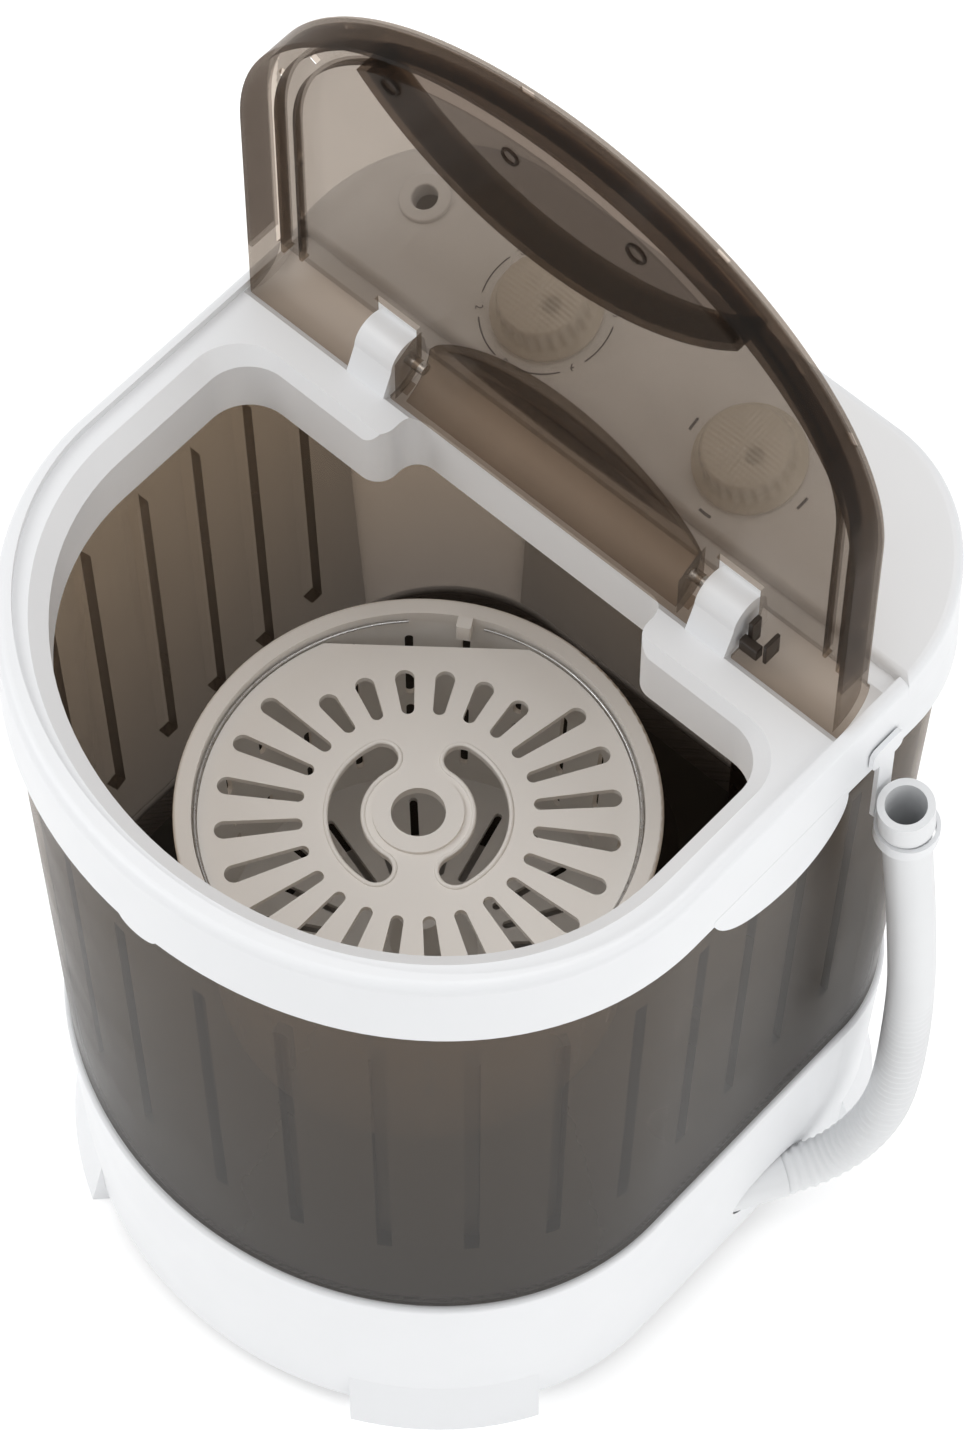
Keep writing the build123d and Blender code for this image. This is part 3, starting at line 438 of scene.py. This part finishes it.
def tube(name, centres, radii, sides, material, body, inner=None):
    """Skins rings round a line, with an inside wall and flat ends when inner is given."""
    rings = []
    side = None
    for index, centre in enumerate(centres):
        before = centres[max(index - 1, 0)]
        after = centres[min(index + 1, len(centres) - 1)]
        along = (after - before).normalized()
        side = carried_side(along, side)
        rings.append((centre, side, along.cross(side)))
    walls = [[(ring, radius) for ring, radius in zip(rings, radii)]]
    if inner:
        walls.append([(ring, inner) for ring in reversed(rings)])
    verts = []
    for wall in walls:
        for (centre, first, second), radius in wall:
            for step in range(sides):
                angle = 2 * math.pi * step / sides
                verts.append(centre + first * math.cos(angle) * radius + second * math.sin(angle) * radius)
    faces = ring_faces(len(rings) * len(walls), sides, len(walls) > 1)
    return mesh_piece(name, verts, faces, material, body)


def add_hose(materials):
    """The whole hose as one hollow skin, ribbed near the machine and smooth towards its free end."""
    line = hose_spline()
    centres = even_steps(line, HOSE_STEP)
    radii = []
    for index in range(len(centres)):
        along = index * HOSE_STEP
        ridge = 0.5 - 0.5 * math.cos(2 * math.pi * along / RIDGE_PITCH)
        fade = min(1.0, max(0.0, (RIDGES_END - along) / RIDGES_FADE))
        radii.append(VALLEY_R + RIDGE_HEIGHT * ridge * fade + SMOOTH_RISE * (1 - fade))
    hose = tube("drain_hose_skin", centres, radii, HOSE_SIDES, materials["hose_white"], "cabinet",
                inner=HOSE_BORE_R)
    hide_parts("drain_hose")


# ---- Small beads and blocks ----------------------------------------------------
def loop_tube(name, points, radius, sides, material, body):
    """A round bead along a closed line of points."""
    count = len(points)
    verts = []
    first = None
    for index in range(count):
        along = (points[(index + 1) % count] - points[index - 1]).normalized()
        first = carried_side(along, first)
        second = along.cross(first)
        for step in range(sides):
            angle = 2 * math.pi * step / sides
            verts.append(points[index] + (first * math.cos(angle) + second * math.sin(angle)) * radius)
    return mesh_piece(name, verts, ring_faces(count, sides, True), material, body)


def rounded_block(name, low, high, bevel, material, body):
    """A moulded block with rounded edges between two corners, in millimetres."""
    work = bmesh.new()
    bmesh.ops.create_cube(work, size=1.0)
    size = Vector(high) - Vector(low)
    middle = (Vector(high) + Vector(low)) / 2
    for vert in work.verts:
        vert.co = Vector([(m + c * s) * MM for m, c, s in zip(middle, vert.co, size)])
    bmesh.ops.bevel(work, geom=work.edges[:], offset=bevel * MM, segments=3, affect="EDGES", profile=0.6)
    verts = [vert.co.copy() for vert in work.verts]
    work.verts.index_update()
    faces = [tuple(vert.index for vert in face.verts) for face in work.faces]
    work.free()
    return mesh_piece(name, verts, faces, material, body, smooth=False)


def arc_points(centre, radius, start, end, steps):
    """Points round an arc in the XY plane, in millimetres, angles in degrees."""
    points = []
    for step in range(steps + 1):
        angle = math.radians(start + (end - start) * step / steps)
        points.append(Vector((centre[0] + radius * math.cos(angle), centre[1] + radius * math.sin(angle), 0)))
    return points


# ---- Spin basket cover: raised beads round its finger holes ----------------------
# Millimetres and degrees, except where MM is named
DISC_CENTRE = (0.0, -15.0)
DISC_TURN = 40.0
HOLE_R = 34.0
HOLE_HALF = 58.0
BEAD_OUT = 8.6
BEAD_R = 1.2 * MM
BEAD_DROP = 2.1 * MM                    # below the top of the cover
BEAD_SIDES = 10
OUTER_STEPS = 36
INNER_STEPS = 28
END_STEPS = 14


def add_cover_beads(materials):
    """A bead round each of the two curved finger holes."""
    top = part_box("basket_lid")[1].z - BEAD_DROP
    end_x = HOLE_R * math.cos(math.radians(HOLE_HALF))
    end_y = HOLE_R * math.sin(math.radians(HOLE_HALF))
    outline = arc_points((0, 0), HOLE_R + BEAD_OUT, -HOLE_HALF, HOLE_HALF, OUTER_STEPS)
    outline += arc_points((end_x, end_y), BEAD_OUT, HOLE_HALF, HOLE_HALF + 180, END_STEPS)[1:]
    outline += arc_points((0, 0), HOLE_R - BEAD_OUT, HOLE_HALF, -HOLE_HALF, INNER_STEPS)[1:]
    outline += arc_points((end_x, -end_y), BEAD_OUT, 180 - HOLE_HALF, 360 - HOLE_HALF, END_STEPS)[1:-1]
    for number, turn in enumerate((0.0, 180.0)):
        turned = Matrix.Rotation(math.radians(DISC_TURN + turn), 4, "Z")
        points = []
        for point in outline:
            moved = turned @ point
            points.append(Vector(((moved.x + DISC_CENTRE[0]) * MM, (moved.y + DISC_CENTRE[1]) * MM, top)))
        loop_tube(f"cover_bead_{number}", points, BEAD_R, BEAD_SIDES, materials["cream_plastic"],
                  "basket_cover")


# ---- Control panel print -----------------------------------------------------------
# Millimetres and degrees, except where MM is named
PANEL_FRONT = (102.0, 480.0)            # y and z of the panel's front edge
PANEL_TILT = math.atan2(24.0, 87.0)
PANEL_UP = Vector((0, math.cos(PANEL_TILT), math.sin(PANEL_TILT)))
PANEL_NORMAL = Vector((0, -math.sin(PANEL_TILT), math.cos(PANEL_TILT)))
TIMER_SPOT = (-59.0, 139.0)
SELECTOR_SPOT = (59.0, 139.0)
PRINT_R = 31.0
PRINT_LIFT = 0.12
FIGURE_SIZE = 5.2 * MM
TIMER_FIGURES = {213: "12", 272: "9", 332: "6", 32: "3", 92: "0", 153: "15"}    # by degrees round the dial
TIMER_ARC = (11, 49)                    # degrees past each figure
TIMER_ARC_HALF = 0.35
SELECTOR_MARKS = (184, 270, 357)
SELECTOR_MARK_SPREAD = 6
SELECTOR_MARK_HALF = 0.7
ARC_STEP = 3


def on_panel(x, y, lift):
    """A point above the sloping panel face; x and y in millimetres."""
    along = (y - PANEL_FRONT[0]) * math.cos(PANEL_TILT)
    return Vector((x, PANEL_FRONT[0] + along * math.cos(PANEL_TILT) - lift * math.sin(PANEL_TILT),
                   PANEL_FRONT[1] + along * math.sin(PANEL_TILT) + lift * math.cos(PANEL_TILT))) * MM


def panel_dial(spot, radius, degrees, lift):
    """A point on a dial round a knob, measured in the plane of the panel."""
    angle = math.radians(degrees)
    middle = on_panel(*spot, lift)
    across = Vector((radius * math.cos(angle) * MM, 0, 0))
    return middle + across + PANEL_UP * (radius * math.sin(angle) * MM)


def printed_arc(name, spot, start, end, half_width, materials):
    """A thin printed band round a dial."""
    verts = []
    steps = max(2, int(abs(end - start) / ARC_STEP))
    for step in range(steps + 1):
        degrees = start + (end - start) * step / steps
        verts.append(panel_dial(spot, PRINT_R - half_width, degrees, PRINT_LIFT))
        verts.append(panel_dial(spot, PRINT_R + half_width, degrees, PRINT_LIFT))
    faces = [(2 * step, 2 * step + 1, 2 * step + 3, 2 * step + 2) for step in range(steps)]
    mesh_piece(name, verts, faces, materials["print_ink"], "cabinet", smooth=False)


def add_panel_print(materials):
    """Figures and arcs round the timer, and three marks round the selector."""
    for degrees, figures in TIMER_FIGURES.items():
        start, end = (degrees + turn for turn in TIMER_ARC)
        printed_arc(f"timer_arc_{degrees}", TIMER_SPOT, start, end, TIMER_ARC_HALF, materials)
        text = bpy.data.curves.new(f"timer_figure_{degrees}", "FONT")
        text.body = figures
        text.size = FIGURE_SIZE
        text.align_x = "CENTER"
        text.align_y = "CENTER"
        piece = bpy.data.objects.new(text.name, text)
        piece.location = panel_dial(TIMER_SPOT, PRINT_R, degrees, PRINT_LIFT)
        # Figures on the lower half of the dial turn with it, the others stand upright
        turn = math.radians(degrees + 90) if degrees > 180 else 0
        piece.rotation_euler = (PANEL_TILT, 0, turn)
        piece.data.materials.append(materials["print_ink"])
        bpy.context.collection.objects.link(piece)
        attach(piece, "cabinet")
    for degrees in SELECTOR_MARKS:
        printed_arc(f"selector_mark_{degrees}", SELECTOR_SPOT, degrees - SELECTOR_MARK_SPREAD,
                    degrees + SELECTOR_MARK_SPREAD, SELECTOR_MARK_HALF, materials)


# ---- Knobs ---------------------------------------------------------------------------
# Millimetres
KNOB_SIDES = 144
SCALLOPS = 24
CROWN_R = 19.2
CROWN_FOOT = 17.9
CROWN_RISE = 2.6
CROWN_RINGS = 22
DIAMONDS_R = 18.6
DIAMOND_TURN = 1.35                     # radians of the wave for each millimetre
DIAMOND_RISE = 0.45
# (radius, height, depth of the scallops) from the flange up to the foot of the crown
KNOB_ROWS = [
    (25.6, 0.6, 0.0),
    (25.9, 2.0, 0.0),
    (25.6, 3.4, 0.0),
    (23.2, 3.7, 0.0),
    (22.6, 4.4, 0.4),
    (22.0, 5.5, 1.2),
    (21.6, 9.0, 1.5),
    (21.2, 13.0, 1.3),
    (20.4, 16.2, 0.5),
    (CROWN_R, CROWN_FOOT, 0.0),
]


def add_knob_skin(name, spot, body, node, materials):
    """Domed cap with raised diamonds and a scalloped skirt, standing on the panel."""
    rows = list(KNOB_ROWS)
    for ring in range(1, CROWN_RINGS):
        share = 1 - ring / CROWN_RINGS
        rows.append((CROWN_R * share, CROWN_FOOT + CROWN_RISE * (1 - share ** 2), 0.0))
    centre = on_panel(*spot, 0.0)
    across = Vector((1, 0, 0))
    verts = []
    for radius, height, scallop in rows:
        for step in range(KNOB_SIDES):
            angle = 2 * math.pi * step / KNOB_SIDES
            reach = radius - scallop * (0.5 + 0.5 * math.cos(SCALLOPS * angle))
            flat = Vector((reach * math.cos(angle), reach * math.sin(angle), 0))
            lift = height
            if radius < DIAMONDS_R:
                rising = math.sin(DIAMOND_TURN * (flat.x + flat.y))
                falling = math.sin(DIAMOND_TURN * (flat.x - flat.y))
                lift += DIAMOND_RISE * rising * falling * min(1.0, radius / 2)
            verts.append(centre + (across * flat.x + PANEL_UP * flat.y + PANEL_NORMAL * lift) * MM)
    verts.append(centre + PANEL_NORMAL * ((CROWN_FOOT + CROWN_RISE) * MM))
    faces = ring_faces(len(rows), KNOB_SIDES, False)
    last = (len(rows) - 1) * KNOB_SIDES
    for step in range(KNOB_SIDES):
        faces.append((last + step, last + (step + 1) % KNOB_SIDES, len(verts) - 1))
    skin = mesh_piece(name, verts, faces, materials["knob_clear"], body)
    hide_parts(node)


# ---- Lid details ---------------------------------------------------------------------
# Millimetres, except where MM is named
SCOOP_HALF = 78.5
SCOOP_RISE = 40.0
SCOOP_TOP_Z = 500.0
SCOOP_BEND_Z = 484.0
SCOOP_BEND_OUT = 1.5
SCOOP_FOOT_Y = 65.0
SCOOP_FOOT_Z = 476.0
SCOOP_WALL = 0.9 * MM
SCOOP_COLUMNS = 48
SCOOP_ROWS = 10
SCOOP_INSET = 2.9                       # from the back of the open lid to where the apron leaves its plate
SEAT_GAP = 0.6                          # from the front of the grip cup to the middle of a bead on it
# (x, z) of the screws and the drain hole in the grip cup
SCREW_SPOTS = ((-83, 704), (49, 713))
DRAIN_SPOT = (-18, 716)
SCREW_RING = (4.6, 0.9)                 # radius of the ring, radius of its bead
DRAIN_RING = (4.0, 0.8)
RING_STEPS = 28
RING_SIDES = 8
SWITCH_BEVEL = 0.7
# (name, low corner, high corner) of the tab that works the lid switch
SWITCH_BLOCKS = (
    ("lid_switch_tab", (112, 67.5, 475.5), (122, 72, 483)),
    ("lid_switch_post", (113, 72, 475.5), (115.5, 78.5, 492)),
    ("lid_switch_rib", (124, 69, 475.5), (126, 78.5, 489)),
)


def add_lid_scoop(materials):
    """Concave apron from an arc on the plate down to the free edge of the flange."""
    plate = LID_BOX[1].y / MM - SCOOP_INSET
    verts = []
    for column in range(SCOOP_COLUMNS + 1):
        x = -SCOOP_HALF + 2 * SCOOP_HALF * column / SCOOP_COLUMNS
        top = Vector((x, plate, SCOOP_TOP_Z + SCOOP_RISE * (1 - (x / SCOOP_HALF) ** 2) ** 0.8))
        bend = Vector((x, plate - SCOOP_BEND_OUT, SCOOP_BEND_Z))
        foot = Vector((x, SCOOP_FOOT_Y, SCOOP_FOOT_Z))
        for row in range(SCOOP_ROWS + 1):
            share = row / SCOOP_ROWS
            point = top.lerp(bend, share).lerp(bend.lerp(foot, share), share)
            verts.append(point * MM)
    faces = []
    for column in range(SCOOP_COLUMNS):
        for row in range(SCOOP_ROWS):
            start = column * (SCOOP_ROWS + 1) + row
            faces.append((start, start + 1, start + SCOOP_ROWS + 2, start + SCOOP_ROWS + 1))
    apron = mesh_piece("lid_apron", verts, faces, materials["lid_smoke"], "lid")
    wall = apron.modifiers.new("wall", "SOLIDIFY")
    wall.thickness = SCOOP_WALL
    wall.offset = 1.0


def lid_ring(name, x, z, y, radius, bead, materials):
    """A round bead standing on the lid, in a plane facing the front; in millimetres."""
    points = []
    for step in range(RING_STEPS):
        angle = 2 * math.pi * step / RING_STEPS
        points.append(Vector((x + radius * math.cos(angle), y, z + radius * math.sin(angle))) * MM)
    loop_tube(name, points, bead * MM, RING_SIDES, materials["lid_smoke"], "lid")


def add_lid_marks(materials):
    """Screw seats and a drain rim on the grip cup, and the tab that works the lid switch."""
    cup_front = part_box("lid_grip")[0].y / MM - SEAT_GAP
    for number, (x, z) in enumerate(SCREW_SPOTS):
        lid_ring(f"grip_screw_seat_{number}", x, z, cup_front, *SCREW_RING, materials)
    lid_ring("grip_drain_rim", *DRAIN_SPOT, cup_front, *DRAIN_RING, materials)
    for name, low, high in SWITCH_BLOCKS:
        rounded_block(name, low, high, SWITCH_BEVEL, materials["smoke_cover"], "lid")


materials = make_materials()
add_camera()
add_stage()
dress_frame(materials)
add_hose(materials)
add_cover_beads(materials)
add_panel_print(materials)
add_knob_skin("timer_knob_skin", TIMER_SPOT, "timer", "timer_knob", materials)
add_knob_skin("selector_knob_skin", SELECTOR_SPOT, "selector", "selector_knob", materials)
add_lid_scoop(materials)
add_lid_marks(materials)

bpy.context.scene.view_settings.view_transform = "Standard"
bpy.context.view_layer.update()
